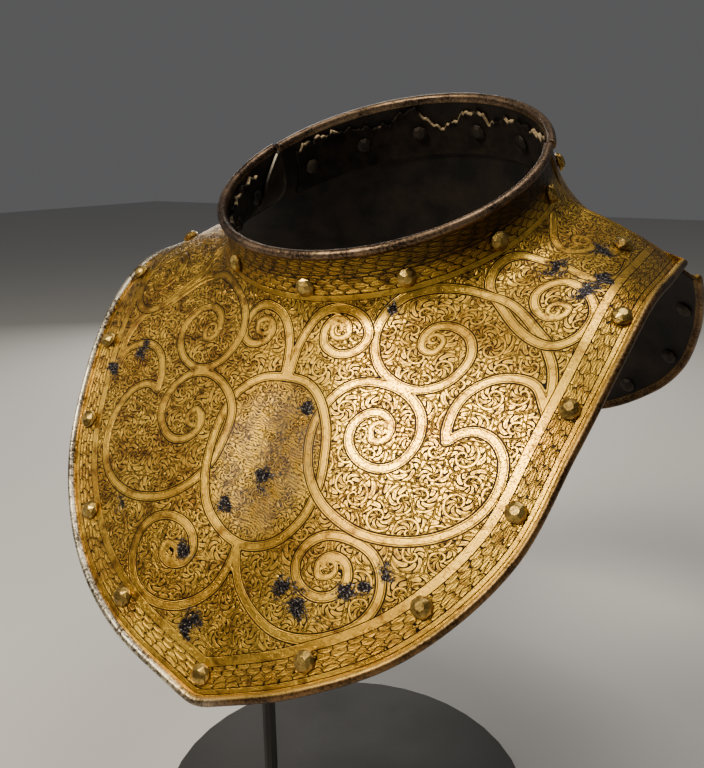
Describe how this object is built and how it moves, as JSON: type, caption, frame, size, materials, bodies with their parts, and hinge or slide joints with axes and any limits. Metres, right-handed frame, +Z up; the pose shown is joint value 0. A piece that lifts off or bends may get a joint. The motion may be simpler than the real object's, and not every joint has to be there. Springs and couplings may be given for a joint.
{
  "type": "gorget on a stand",
  "caption": "Etched and gilded steel neck guard, front and back plates hinged at one shoulder, with riveted borders and lining remains, held upright on a plain post and base.",
  "frame": {"origin": "on the flat underside of the stand's base, straight below the centre of the neck ring", "axes": "+Z up, the front of the gorget faces -Y, the wearer's left is +X"},
  "size_m": [0.2812, 0.2737, 0.3661],
  "materials": {
    "gilded_steel": "etched and gilded, worn",
    "rivet_brass": "worn, faceted",
    "lining_leather": "dry, torn",
    "stand_iron": "matte black",
    "pad_felt": "felt"
  },
  "bodies": {
    "front_half": {"front_plate": "gilded_steel", "front_rivet_1": "rivet_brass", "front_rivet_2": "rivet_brass", "front_rivet_3": "rivet_brass", "front_rivet_4": "rivet_brass", "front_rivet_5": "rivet_brass", "front_rivet_6": "rivet_brass", "front_rivet_7": "rivet_brass", "front_rivet_8": "rivet_brass", "front_rivet_9": "rivet_brass", "front_rivet_10": "rivet_brass", "front_rivet_11": "rivet_brass", "front_rivet_12": "rivet_brass", "front_rivet_13": "rivet_brass", "front_rivet_14": "rivet_brass", "front_rivet_15": "rivet_brass", "front_rivet_16": "rivet_brass", "front_rivet_17": "rivet_brass", "front_rivet_18": "rivet_brass", "shoulder_pivot": "rivet_brass", "catch_stud": "rivet_brass", "front_lining": "lining_leather", "stand_base": "stand_iron", "stand_post": "stand_iron", "left_pad": "pad_felt", "right_pad": "pad_felt"},
    "back_half": {"back_plate": "gilded_steel", "back_rivet_1": "rivet_brass", "back_rivet_2": "rivet_brass", "back_rivet_3": "rivet_brass", "back_rivet_4": "rivet_brass", "back_rivet_5": "rivet_brass", "back_rivet_6": "rivet_brass", "back_rivet_7": "rivet_brass", "back_rivet_8": "rivet_brass", "back_rivet_9": "rivet_brass", "back_rivet_10": "rivet_brass", "back_rivet_11": "rivet_brass", "back_rivet_12": "rivet_brass", "back_rivet_13": "rivet_brass", "back_rivet_14": "rivet_brass", "back_rivet_15": "rivet_brass", "back_lining": "lining_leather"}
  },
  "joints": [
    {"name": "shoulder_swing", "type": "hinge", "parent": "front_half", "child": "back_half", "pos_m": [0.112, 0.01256, 0.2975], "axis": [-0.3952, 0.2298, -0.8894], "range_deg": [0, 30]}
  ]
}
